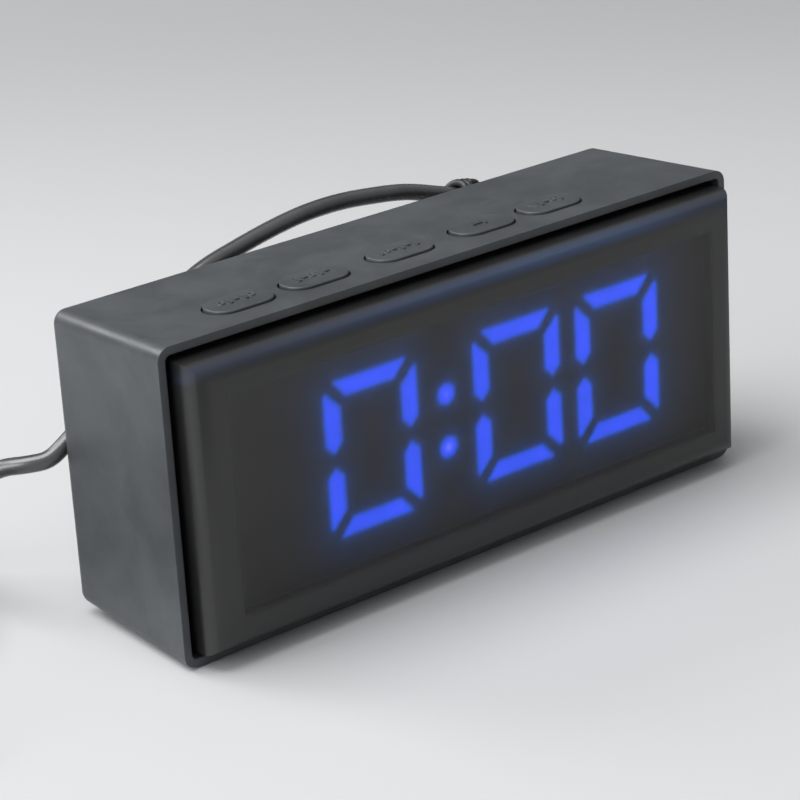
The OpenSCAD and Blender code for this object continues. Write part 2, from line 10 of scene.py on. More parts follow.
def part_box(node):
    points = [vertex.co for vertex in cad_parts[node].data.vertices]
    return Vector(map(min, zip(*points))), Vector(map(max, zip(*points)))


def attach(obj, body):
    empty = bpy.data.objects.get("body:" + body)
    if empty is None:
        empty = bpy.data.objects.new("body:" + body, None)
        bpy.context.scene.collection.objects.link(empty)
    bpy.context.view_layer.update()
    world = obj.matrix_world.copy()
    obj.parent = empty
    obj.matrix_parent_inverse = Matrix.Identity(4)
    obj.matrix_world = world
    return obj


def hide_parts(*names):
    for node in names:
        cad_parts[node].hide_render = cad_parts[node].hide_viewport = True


bl_info = {
    "name": "Desk alarm clock",
    "version": (1, 0, 0),
    "blender": (4, 5, 0),
    "location": "View3D > Sidebar > Clock",
    "description": "Builds the finishes, lit display, keys, cord and studio of a desk alarm clock",
    "category": "Object",
}

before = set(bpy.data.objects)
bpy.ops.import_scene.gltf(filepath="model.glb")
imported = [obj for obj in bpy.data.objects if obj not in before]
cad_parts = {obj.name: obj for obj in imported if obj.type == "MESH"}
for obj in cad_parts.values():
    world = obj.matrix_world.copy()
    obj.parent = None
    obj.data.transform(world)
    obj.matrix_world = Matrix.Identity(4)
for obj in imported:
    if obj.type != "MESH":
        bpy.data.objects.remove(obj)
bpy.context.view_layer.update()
MM = 0.001

LENS_LOW, LENS_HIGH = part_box("front_lens")
FILM_LOW, FILM_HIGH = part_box("diffuser_film")
LIT_LOW, LIT_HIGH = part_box("segments_lit")
DOTS_LOW, DOTS_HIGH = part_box("colon_dots")
KEYS = ["button_1", "button_2", "button_3", "button_4", "button_5"]
MARKS = [
    ["ring", "bar", "dash", "bar", "ring"], ["bar", "dash", "ring", "bar", "dash"],
    ["bar", "ring", "dash", "bar", "dash", "bar"], ["rise", "bar"], ["fall", "bar", "dash", "ring", "bar"],
]
# from one mark to the next, and from the middle of a key back to its row
MARK_PITCH = 1.3 * MM
MARK_BACK = 0.5 * MM
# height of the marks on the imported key, and width of the flange round its foot
CAD_MARK = 0.25 * MM
FLANGE = 0.55 * MM


# ------------------------------------------------------------------ settings


def length(name, description, default):
    """A length setting, in metres."""
    return bpy.props.FloatProperty(name=name, description=description, default=default, unit="LENGTH")


def colour(name, description, default):
    """A colour setting."""
    return bpy.props.FloatVectorProperty(
        name=name, description=description, default=default, subtype="COLOR", size=3, min=0, max=1
    )


def angle(name, description, degrees):
    """An angle setting, given in degrees."""
    return bpy.props.FloatProperty(
        name=name, description=description, default=math.radians(degrees), subtype="ANGLE"
    )


def power(name, description, default):
    """The power of a lamp."""
    return bpy.props.FloatProperty(name=name, description=description, default=default, subtype="POWER")


class ClockSizes(bpy.types.PropertyGroup):
    """Sizes of the clock's own pieces."""

    digit_width: length("Digit width", "Width of one digit", 17.2 * MM)
    digit_height: length("Digit height", "Height of one digit", LIT_HIGH.z - LIT_LOW.z)
    digit_pitch: length("Digit pitch", "Distance from digit to digit beside the colon", 20.1 * MM)
    colon_pitch: length("Colon pitch", "Distance from the colon to the digit beside it", 13.7 * MM)
    display_middle: length(
        "Display middle", "Place of the colon along the width", (DOTS_LOW.x + DOTS_HIGH.x) / 2
    )
    bar_upright: length("Upright bar", "Width of an upright bar of a digit", 3.3 * MM)
    bar_level: length("Level bar", "Height of a level bar of a digit", 3.0 * MM)
    bar_round: length("Bar corners", "Radius at the corners of the lit bars", 0.45 * MM)
    glow_blur: length("Glow blur", "How far the edge of a lit bar is blurred by the film", 1.5 * MM)
    halo_reach: length("Halo reach", "How far the faint halo reaches round a lit bar", 9.0 * MM)
    cord_diameter: length("Cord diameter", "Diameter of the supply cord", 2.6 * MM)
    lens_round: length("Lens edge radius", "Radius from the lens's walls to its face", 3.0 * MM)
    lens_wall: length("Lens wall", "Wall thickness of the lens", 2.0 * MM)
    key_round: length("Key edge radius", "Radius of the upper edge of a key", 0.2 * MM)
    key_crown: length("Key mark height", "How far a mark stands up from its key", 0.22 * MM)
    edge_round: length("Edge radius", "Radius that softens the moulded edges", 0.22 * MM)


class ClockColours(bpy.types.PropertyGroup):
    """Colours and finishes of the clock."""

    case: colour("Case", "Black plastic of the case", (0.033, 0.037, 0.041))
    lens: colour("Lens", "Smoked plastic of the lens", (0.026, 0.026, 0.027))
    light: colour("Light", "Colour of the lit digits", (0.022, 0.075, 1.0))
    light_power: bpy.props.FloatProperty(
        name="Light power", description="Strength of the lit digits", default=6.5, min=0, max=60
    )
    cord: colour("Cord", "Black jacket of the cord", (0.03, 0.03, 0.031))
    board: colour("Board", "Green lacquer of the boards", (0.012, 0.11, 0.05))


class ClockStudio(bpy.types.PropertyGroup):
    """The floor, the lamps and the camera."""

    camera_turn: angle("Camera turn", "Azimuth of the camera", -38.57)
    camera_tilt: angle("Camera tilt", "Elevation of the camera", 21.11)
    camera_roll: angle("Camera roll", "Roll of the camera", -3.5)
    camera_distance: length("Camera distance", "From the clock to the camera", 0.42919)
    camera_aim: bpy.props.FloatVectorProperty(
        name="Camera aim", description="Point that the camera looks at",
        default=(-1.89 * MM, 2.25 * MM, 21.81 * MM), subtype="XYZ", size=3,
    )
    camera_lens: bpy.props.FloatProperty(
        name="Camera lens", description="Focal length in millimetres on a 36 mm sensor", default=130.3
    )
    floor: colour("Floor", "Colour of the floor and the backdrop", (0.455, 0.46, 0.465))
    key_power: power("Key light", "Power of the large lamp above", 11.5)
    side_power: power("Side light", "Power of the large lamp at the left", 5.5)
    back_power: power("Back light", "Power of the lamp behind at the left", 4.0)
    sky: bpy.props.FloatProperty(
        name="Surround", description="Strength of the pale surround", default=0.82, min=0, max=4
    )


def sizes():
    return bpy.context.scene.clock_sizes


def colours():
    return bpy.context.scene.clock_colours


def studio():
    return bpy.context.scene.clock_studio


# ------------------------------------------------------------------ shader building


def add(tree, kind, **values):
    """A node of that kind; each value goes to the property of that name, or else to the input socket."""
    node = tree.nodes.new(kind)
    for name, value in values.items():
        if hasattr(node, name):
            setattr(node, name, value)
        else:
            node.inputs[name.replace("_", " ")].default_value = value
    return node


def maths(tree, operation, a, b=None, clamp=False):
    """The output of a Math node; a and b are numbers or sockets."""
    node = add(tree, "ShaderNodeMath", operation=operation, use_clamp=clamp)
    for socket, value in zip(node.inputs, (a, b)):
        if isinstance(value, bpy.types.NodeSocket):
            tree.links.new(value, socket)
        elif value is not None:
            socket.default_value = value
    return node.outputs[0]


def span(tree, value, low, high, to_low=0.0, to_high=1.0):
    """The value moved smoothly from one range to another."""
    node = add(tree, "ShaderNodeMapRange", interpolation_type="SMOOTHSTEP")
    tree.links.new(value, node.inputs["Value"])
    for name, number in (("From Min", low), ("From Max", high), ("To Min", to_low), ("To Max", to_high)):
        node.inputs[name].default_value = number
    return node.outputs[0]


def tint(tree, share, a, b):
    """The colour a blended to b by a share; a and b are colours or sockets."""
    node = add(tree, "ShaderNodeMix", data_type="RGBA")
    tree.links.new(share, node.inputs["Factor"])
    for socket, value in ((node.inputs[6], a), (node.inputs[7], b)):
        if isinstance(value, bpy.types.NodeSocket):
            tree.links.new(value, socket)
        else:
            socket.default_value = (*value, 1.0)
    return node.outputs[2]


def noise(tree, where, scale, detail=2.0, roughness=0.5, distortion=0.0):
    """The grey of a noise texture read at those coordinates."""
    node = add(
        tree, "ShaderNodeTexNoise", Scale=scale, Detail=detail, Roughness=roughness, Distortion=distortion
    )
    tree.links.new(where, node.inputs["Vector"])
    return node.outputs["Fac"]


def shared(name, inputs, outputs):
    """A node group; with its tree and end nodes if it is new, or else with None in their place."""
    found = bpy.data.node_groups.get(name)
    if found:
        return found, None, None, None
    tree = bpy.data.node_groups.new(name, "ShaderNodeTree")
    for label, kind, value in inputs:
        socket = tree.interface.new_socket(name=label, in_out="INPUT", socket_type=kind)
        if value is not None:
            socket.default_value = value
    for label, kind in outputs:
        tree.interface.new_socket(name=label, in_out="OUTPUT", socket_type=kind)
    return tree, tree, tree.nodes.new("NodeGroupInput"), tree.nodes.new("NodeGroupOutput")


def moulded_grain():
    """The fine pebbling of a moulded surface, and its slow unevenness."""
    group, tree, start, end = shared(
        "Moulded grain",
        [("Vector", "NodeSocketVector", None), ("Fineness", "NodeSocketFloat", 2600.0)],
        [("Height", "NodeSocketFloat"), ("Mottle", "NodeSocketFloat")],
    )
    if tree:
        scaled = add(tree, "ShaderNodeVectorMath", operation="SCALE")
        tree.links.new(start.outputs["Vector"], scaled.inputs[0])
        tree.links.new(start.outputs["Fineness"], scaled.inputs["Scale"])
        pebbles = add(tree, "ShaderNodeTexVoronoi", feature="SMOOTH_F1", Scale=1.0, Smoothness=0.6)
        tree.links.new(scaled.outputs[0], pebbles.inputs["Vector"])
        fine = noise(tree, scaled.outputs[0], 1.7, 3.0, 0.6)
        mixed = maths(tree, "ADD", maths(tree, "MULTIPLY", pebbles.outputs["Distance"], 0.55), fine)
        tree.links.new(mixed, end.inputs["Height"])
        slow = noise(tree, start.outputs["Vector"], 95.0, 4.0, 0.62, 0.4)
        tree.links.new(span(tree, slow, 0.3, 0.72), end.inputs["Mottle"])
    return group


def handling_marks():
    """Smudges and faint rubs from handling, as a mask."""
    group, tree, start, end = shared(
        "Handling marks",
        [("Vector", "NodeSocketVector", None), ("Spread", "NodeSocketFloat", 60.0)],
        [("Smudge", "NodeSocketFloat"), ("Scratch", "NodeSocketFloat")],
    )
    if tree:
        scaled = add(tree, "ShaderNodeVectorMath", operation="SCALE")
        tree.links.new(start.outputs["Vector"], scaled.inputs[0])
        tree.links.new(start.outputs["Spread"], scaled.inputs["Scale"])
        broad = noise(tree, scaled.outputs[0], 1.0, 5.0, 0.55, 0.8)
        tree.links.new(span(tree, broad, 0.42, 0.68), end.inputs["Smudge"])
        turned = add(tree, "ShaderNodeMapping", vector_type="POINT")
        turned.inputs["Rotation"].default_value = (0.3, 0.5, 0.7)
        turned.inputs["Scale"].default_value = (1.0, 26.0, 9.0)
        tree.links.new(scaled.outputs[0], turned.inputs["Vector"])
        lines = noise(tree, turned.outputs[0], 2.2, 2.0, 0.4)
        tree.links.new(span(tree, lines, 0.70, 0.76), end.inputs["Scratch"])
    return group


def settled_dust():
    """Light dust that lies on what faces up, as a mask."""
    group, tree, start, end = shared(
        "Settled dust",
        [("Vector", "NodeSocketVector", None), ("Amount", "NodeSocketFloat", 0.5)],
        [("Mask", "NodeSocketFloat")],
    )
    if tree:
        facing = add(tree, "ShaderNodeNewGeometry")
        split = add(tree, "ShaderNodeSeparateXYZ")
        tree.links.new(facing.outputs["Normal"], split.inputs[0])
        up = span(tree, split.outputs["Z"], 0.35, 0.95)
        specks = span(tree, noise(tree, start.outputs["Vector"], 1900.0, 2.0, 0.7), 0.64, 0.74)
        film = span(tree, noise(tree, start.outputs["Vector"], 210.0, 5.0, 0.6), 0.35, 0.8, 0.0, 0.3)
        mask = maths(tree, "MULTIPLY", maths(tree, "ADD", specks, film, True), up)
        tree.links.new(maths(tree, "MULTIPLY", mask, start.outputs["Amount"], True), end.inputs["Mask"])
    return group


def place(tree, group, where, **values):
    """A group placed in a material, reading those coordinates."""
    node = add(tree, "ShaderNodeGroup", node_tree=group)
    tree.links.new(where, node.inputs["Vector"])
    for name, value in values.items():
        node.inputs[name].default_value = value
    return node


def new_material(name, metallic=0.0):
    """An empty material: its tree, its shader and its object coordinates."""
    made = bpy.data.materials.new(name)
    made.use_nodes = True
    tree = made.node_tree
    shader = tree.nodes["Principled BSDF"]
    shader.inputs["Metallic"].default_value = metallic
    shader.inputs["IOR"].default_value = 1.5
    where = add(tree, "ShaderNodeTexCoord").outputs["Object"]
    return made, tree, shader, where


def finish_surface(tree, shader, height, depth, strength, edge):
    """A bump of that real depth, on normals that are softened at the edges."""
    bump = add(tree, "ShaderNodeBump", Strength=strength, Distance=depth)
    tree.links.new(height, bump.inputs["Height"])
    if edge:
        soft = add(tree, "ShaderNodeBevel", samples=4, Radius=edge)
        tree.links.new(soft.outputs["Normal"], bump.inputs["Normal"])
    tree.links.new(bump.outputs["Normal"], shader.inputs["Normal"])


def plastic(name, colour, rough, fineness=2600.0, depth=0.03 * MM, edge=0.0, dust=0.25):
    """Moulded plastic with grain, smudges and a little dust."""
    made, tree, shader, where = new_material(name)
    grain = place(tree, moulded_grain(), where, Fineness=fineness)
    marks = place(tree, handling_marks(), where)
    dusty = place(tree, settled_dust(), where, Amount=dust)
    lighter = tuple(min(1.0, c * 1.35 + 0.004) for c in colour)
    base = tint(tree, grain.outputs["Mottle"], colour, lighter)
    base = tint(tree, dusty.outputs["Mask"], base, tuple(min(1.0, c * 0.7 + 0.11) for c in colour))
    tree.links.new(base, shader.inputs["Base Color"])
    shine = span(tree, marks.outputs["Smudge"], 0.0, 1.0, rough, rough * 0.86)
    shine = maths(tree, "ADD", shine, maths(tree, "MULTIPLY", marks.outputs["Scratch"], 0.08))
    tree.links.new(shine, shader.inputs["Roughness"])
    finish_surface(tree, shader, grain.outputs["Height"], depth, 0.35, edge)
    return made


def metal(name, colour, rough, stretch=(1.0, 40.0, 40.0), edge=0.0):
    """Plated or drawn metal with fine lines one way."""
    made, tree, shader, where = new_material(name, metallic=1.0)
    drawn = add(tree, "ShaderNodeMapping", vector_type="POINT")
    drawn.inputs["Scale"].default_value = stretch
    tree.links.new(where, drawn.inputs["Vector"])
    lines = noise(tree, drawn.outputs[0], 180.0, 4.0, 0.6)
    marks = place(tree, handling_marks(), where, Spread=160.0)
    darker = tuple(c * 0.72 for c in colour)
    tree.links.new(tint(tree, span(tree, lines, 0.3, 0.7), darker, colour), shader.inputs["Base Color"])
    shine = span(tree, marks.outputs["Smudge"], 0.0, 1.0, rough, rough * 1.5)
    tree.links.new(shine, shader.inputs["Roughness"])
    finish_surface(tree, shader, lines, 0.02 * MM, 0.25, edge)
    return made


def circuit(name, lacquer):
    """Lacquered board with tracks under the lacquer."""
    made, tree, shader, where = new_material(name)
    turned = add(tree, "ShaderNodeMapping", vector_type="POINT")
    turned.inputs["Rotation"].default_value = (math.pi / 2, 0.0, 0.0)
    tree.links.new(where, turned.inputs["Vector"])
    tracks = add(
        tree, "ShaderNodeTexBrick", offset=0.37, squash=0.6, squash_frequency=3,
        Scale=170.0, Mortar_Size=0.03, Mortar_Smooth=0.2, Bias=0.0, Brick_Width=1.3, Row_Height=0.24,
    )
    tree.links.new(turned.outputs[0], tracks.inputs["Vector"])
    slow = noise(tree, where, 140.0, 3.0)
    darker = tuple(c * 0.55 for c in lacquer)
    base = tint(tree, tracks.outputs["Fac"], lacquer, tuple(min(1.0, c * 1.9 + 0.02) for c in lacquer))
    base = tint(tree, span(tree, slow, 0.3, 0.8, 0.0, 0.5), base, darker)
    tree.links.new(base, shader.inputs["Base Color"])
    tree.links.new(span(tree, slow, 0.2, 0.8, 0.28, 0.4), shader.inputs["Roughness"])
    finish_surface(tree, shader, tracks.outputs["Fac"], 0.03 * MM, 0.5, 0.0)
    return made


def smoked_lens(name, colour, glow):
    """Satin smoked plastic, clear over the display; its upper bevel has a painted glow for a little of the
    digits' light caught there.
    """
    made, tree, shader, where = new_material(name)
    grain = place(tree, moulded_grain(), where, Fineness=4200.0)
    marks = place(tree, handling_marks(), where, Spread=44.0)
    dusty = place(tree, settled_dust(), where, Amount=0.15)
    split = add(tree, "ShaderNodeSeparateXYZ")
    tree.links.new(where, split.inputs[0])
    # clear over the display, closed and darker towards the walls
    middle, reach = (LENS_LOW + LENS_HIGH) / 2, (LENS_HIGH - LENS_LOW) / 2
    sideways = maths(tree, "ABSOLUTE", maths(tree, "SUBTRACT", split.outputs["X"], middle.x))
    upright = maths(tree, "ABSOLUTE", maths(tree, "SUBTRACT", split.outputs["Z"], middle.z))
    closed = maths(
        tree, "MAXIMUM",
        span(tree, sideways, reach.x - 6.5 * MM, reach.x - 4.0 * MM),
        span(tree, upright, reach.z - 6.0 * MM, reach.z - 4.0 * MM),
    )
    tree.links.new(span(tree, closed, 0.0, 1.0, 0.62, 1.0), shader.inputs["Alpha"])
    lighter = tuple(c * 1.25 + 0.001 for c in colour)
    base = tint(tree, grain.outputs["Mottle"], colour, lighter)
    # painted shade: the lens's base colour darkens towards its lower edge
    painted_shade_low = span(tree, split.outputs["Z"], LENS_LOW.z, LENS_HIGH.z, 0.75, 0.0)
    base = tint(tree, painted_shade_low, base, (0.006, 0.006, 0.006))
    base = tint(tree, closed, base, tuple(c * 0.22 for c in colour))
    tree.links.new(tint(tree, dusty.outputs["Mask"], base, (0.05, 0.05, 0.05)), shader.inputs["Base Color"])
    tree.links.new(span(tree, marks.outputs["Smudge"], 0.0, 1.0, 0.4, 0.34), shader.inputs["Roughness"])
    shader.inputs["Specular IOR Level"].default_value = 0.65
    # painted glow: a soft emissive streak along the upper bevel, strongest over the right-hand digits, for
    # the digits' light caught there
    rise = maths(tree, "SUBTRACT", split.outputs["Z"], LENS_HIGH.z)
    turned = maths(tree, "ADD", rise, maths(tree, "SUBTRACT", split.outputs["Y"], LENS_LOW.y))
    streak = span(tree, maths(tree, "ABSOLUTE", turned), 0.0, 2.6 * MM, 1.0, 0.0)
    above = span(tree, rise, -3.2 * MM, -2.4 * MM)
    left = span(tree, split.outputs["X"], -0.05, 0.02, 0.35, 1.0)
    right = span(tree, split.outputs["X"], 0.022, 0.05, 1.0, 0.3)
    painted_glow = maths(tree, "MULTIPLY", streak, above)
    painted_glow = maths(tree, "MULTIPLY", painted_glow, maths(tree, "MULTIPLY", left, right))
    uneven = span(tree, noise(tree, where, 120.0, 3.0), 0.2, 0.8, 0.75, 1.0)
    # the painted glow of the upper bevel goes to the emission
    tree.links.new(
        tint(tree, maths(tree, "MULTIPLY", painted_glow, uneven), (0.0, 0.0, 0.0), glow),
        shader.inputs["Emission Color"],
    )
    shader.inputs["Emission Strength"].default_value = 0.1
    finish_surface(tree, shader, grain.outputs["Height"], 0.012 * MM, 0.3, 0.0)
    return made


def lit_film(name, light, power):
    """Grey film; its glow attribute holds how much light comes through."""
    made, tree, shader, where = new_material(name)
    grain = place(tree, moulded_grain(), where, Fineness=3000.0)
    dark = (0.006, 0.006, 0.007)
    base = tint(tree, grain.outputs["Mottle"], dark, (0.009, 0.009, 0.01))
    tree.links.new(base, shader.inputs["Base Color"])
    shader.inputs["Roughness"].default_value = 0.7
    glow = add(tree, "ShaderNodeAttribute", attribute_name="glow")
    even = span(tree, noise(tree, where, 260.0, 2.0), 0.25, 0.75, 0.9, 1.0)
    level = maths(tree, "MULTIPLY", glow.outputs["Fac"], even)
    ramp = add(tree, "ShaderNodeValToRGB")
    r, g, b = light
    steps = [
        (0.0, (0.0, 0.0, 0.0)),
        (0.1, (0.0, g * 0.13, b * 0.045)),
        (0.2, (0.0, g * 0.3, b * 0.13)),
        (0.5, (r * 0.1, g * 0.8, b * 0.5)),
        (0.78, (r, g, b)),
        (0.84, (r * 1.1, g, b)),
        (1.0, (r * 6.5, g * 2.3, b)),
    ]
    for position, colour in steps[1:-1]:
        ramp.color_ramp.elements.new(position).color = (*colour, 1.0)
    ramp.color_ramp.elements[0].color = (*steps[0][1], 1.0)
    ramp.color_ramp.elements[-1].color = (*steps[-1][1], 1.0)
    tree.links.new(level, ramp.inputs[0])
    tree.links.new(ramp.outputs[0], shader.inputs["Emission Color"])
    shader.inputs["Emission Strength"].default_value = power
    finish_surface(tree, shader, grain.outputs["Height"], 0.01 * MM, 0.2, 0.0)
    return made


def foil_label(name):
    """Silver foil with a thin printed border and two plain fields."""
    made, tree, shader, where = new_material(name, metallic=0.7)
    low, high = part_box("rating_label")
    split = add(tree, "ShaderNodeSeparateXYZ")
    tree.links.new(where, split.inputs[0])

    def near(axis, place_at, half):
        away = maths(tree, "ABSOLUTE", maths(tree, "SUBTRACT", split.outputs[axis], place_at))
        return span(tree, away, half, half * 0.7)

    border = None
    for axis, low_end, high_end in (("X", low.x, high.x), ("Z", low.z, high.z)):
        for line in (low_end + 0.9 * MM, high_end - 0.9 * MM):
            one = near(axis, line, 0.12 * MM)
            border = one if border is None else maths(tree, "MAXIMUM", border, one)
    border = maths(tree, "MAXIMUM", border, near("Z", (low.z + high.z) / 2, 0.1 * MM))
    worn = noise(tree, where, 900.0, 3.0)
    printed = maths(tree, "MULTIPLY", border, span(tree, worn, 0.25, 0.4))
    foil = tint(tree, span(tree, worn, 0.3, 0.8), (0.5, 0.5, 0.5), (0.62, 0.62, 0.61))
    tree.links.new(tint(tree, printed, foil, (0.03, 0.03, 0.03)), shader.inputs["Base Color"])
    tree.links.new(span(tree, worn, 0.2, 0.8, 0.36, 0.5), shader.inputs["Roughness"])
    finish_surface(tree, shader, worn, 0.01 * MM, 0.3, 0.0)
    return made


def jacket(name, colour):
    """Satin cord jacket, fine drawing lines along its length and a soft unevenness."""
    made, tree, shader, where = new_material(name)
    grain = place(tree, moulded_grain(), where, Fineness=2200.0)
    marks = place(tree, handling_marks(), where, Spread=180.0)
    lighter = tuple(c * 1.5 + 0.004 for c in colour)
    tree.links.new(tint(tree, grain.outputs["Mottle"], colour, lighter), shader.inputs["Base Color"])
    tree.links.new(span(tree, marks.outputs["Smudge"], 0.0, 1.0, 0.3, 0.22), shader.inputs["Roughness"])
    shader.inputs["Specular IOR Level"].default_value = 0.9
    finish_surface(tree, shader, grain.outputs["Height"], 0.01 * MM, 0.3, 0.0)
    return made


# ------------------------------------------------------------------ piece building


def settle(name, form, finish, body, replaces=(), sharp=35.0):
    """A finished mesh piece from a bmesh: outward faces, soft shading, its place in its vertices."""
    bmesh.ops.remove_doubles(form, verts=form.verts, dist=1e-7)
    bmesh.ops.recalc_face_normals(form, faces=form.faces)
    mesh = bpy.data.meshes.new(name)
    form.to_mesh(mesh)
    form.free()
    piece = bpy.data.objects.new(name, mesh)
    bpy.context.scene.collection.objects.link(piece)
    mesh.shade_smooth()
    mesh.set_sharp_from_angle(angle=math.radians(sharp))
    mesh.materials.append(finish)
    if replaces:
        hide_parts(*replaces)
    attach(piece, body)
    return piece


def dress(nodes, finish):
    """Gives a material to CAD nodes that keep their own shape."""
    for name in nodes:
        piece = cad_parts[name]
        piece.data.materials.clear()
        piece.data.materials.append(finish)


def rounded_bar(form, size, middle, corner, edge, steps=8, edge_steps=3):
    """A block with rounded upright corners and a softened upper edge, added to a bmesh."""
    made = bmesh.ops.create_cube(form, size=1.0)["verts"]
    bmesh.ops.scale(form, vec=size, verts=made)
    bmesh.ops.translate(form, vec=middle, verts=made)
    faces = {f for v in made for f in v.link_faces}
    uprights = [e for f in faces for e in f.edges if abs(e.verts[0].co.z - e.verts[1].co.z) > size[2] * 0.5]
    done = bmesh.ops.bevel(
        form, geom=list(set(uprights)), offset=corner, segments=steps, profile=0.5,
        affect="EDGES", material=-1, clamp_overlap=True,
    )
    verts = {v for f in done["faces"] for v in f.verts} | {v for v in made if v.is_valid}
    if edge:
        top = middle[2] + size[2] / 2
        rim = [
            e for e in {e for v in verts for e in v.link_edges}
            if all(abs(v.co.z - top) < 1e-6 for v in e.verts) and not e.is_boundary
        ]
        bmesh.ops.bevel(
            form, geom=rim, offset=edge, segments=edge_steps, profile=0.5,
            affect="EDGES", material=-1, clamp_overlap=True,
        )


def smooth_path(points, steps):
    """A smooth line through the points, the same number of steps in each span."""
    ends = [points[0] * 2 - points[1], *points, points[-1] * 2 - points[-2]]
    line = []
    for a, b, c, d in zip(ends, ends[1:], ends[2:], ends[3:]):
        for k in range(steps):
            t = k / steps
            bent, twisted = 2 * a - 5 * b + 4 * c - d, 3 * b - a - 3 * c + d
            line.append(0.5 * (2 * b + (c - a) * t + bent * t * t + twisted * t ** 3))
    return line + [points[-1]]


def tube(name, line, radius, finish, body, replaces=(), sides=4):
    """A round tube along a line, as a curve with closed ends."""
    curve = bpy.data.curves.new(name, "CURVE")
    curve.dimensions = "3D"
    curve.bevel_depth = radius
    curve.bevel_resolution = sides
    curve.use_fill_caps = True
    spline = curve.splines.new("POLY")
    spline.points.add(len(line) - 1)
    for point, place_at in zip(spline.points, line):
        point.co = (*place_at, 1.0)
    curve.materials.append(finish)
    piece = bpy.data.objects.new(name, curve)
    bpy.context.scene.collection.objects.link(piece)
    if replaces:
        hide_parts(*replaces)
    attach(piece, body)
    return piece


# ------------------------------------------------------------------ the cord's run, in millimetres

LEAD = [
    (36, 28, 12), (36, 34, 12.1), (36.4, 39, 13.6), (37.4, 42.4, 17.4), (38.6, 43.2, 22.4),
    (39.6, 41.4, 27.6), (40, 37.6, 32.2), (39.6, 32.6, 36), (38, 27.8, 38.8), (34.4, 24, 40.5),
    (29.4, 22.4, 41.8), (24, 22.3, 43.5), (17.4, 22.3, 45.4), (10.4, 22.3, 46.4), (4, 22.3, 46.9),
    (-2.4, 22.3, 46.7), (-8.8, 22.3, 45.8), (-15, 22.3, 44.5), (-21, 22.3, 43), (-26.8, 22, 40.6),
    (-32, 21.5, 37.2), (-36.6, 20.7, 33.6), (-41.4, 19.6, 30.4), (-46, 18.5, 27.9), (-50.2, 18, 25.4),
    (-53.2, 18.4, 23.6), (-55.8, 20, 23.1), (-58.4, 23, 22.4), (-61, 26.6, 20), (-62.4, 31, 16.4),
    (-62.6, 35.6, 12.4), (-62.9, 40.2, 9.4), (-65, 45, 6.9), (-69, 49.6, 4.6), (-74, 52.4, 3),
    (-78.6, 53.3, 2.1),
]
TAIL = [(-102, 29, 4.3), (-102, 25, 4.1), (-102, 21, 3.9), (-102, 17, 3.8)]
COIL_AT = (-82.8, 33.5)
COIL_MID = 14.0
COIL_LANES = 5
COIL_LIFT = 0.5
TIE_AT = 10
SPAN_STEPS = 4


def ease(t):
    """0 to 1, slow at both ends."""
    t = min(1.0, max(0.0, t))
    return t * t * (3 - 2 * t)


def coil_line(thick):
    """The wound cord: in along the lower layer, out along the upper one, a lane a turn."""
    line = []
    outer = COIL_MID + (COIL_LANES - 1) / 2 * thick
    low, high = COIL_LIFT + thick / 2, COIL_LIFT + 1.5 * thick
    steps = 36
    for turn in range(2 * COIL_LANES):
        inward = turn < COIL_LANES
        lane = turn if inward else 2 * COIL_LANES - 1 - turn
        for k in range(steps // 4 + 1 if turn == 2 * COIL_LANES - 1 else steps):
            shift = ease((k / steps - 0.8) / 0.2)
            crossing = turn == COIL_LANES - 1
            r = outer - thick * (lane + (0 if crossing else shift if inward else -shift))
            z = low + (high - low) * shift if crossing else low if inward else high
            line.append((r, math.pi / 2 + (turn + k / steps) * 2 * math.pi, z))
    return [Vector((COIL_AT[0] + r * math.cos(a), COIL_AT[1] + r * math.sin(a), z)) for r, a, z in line]


# ------------------------------------------------------------------ operators


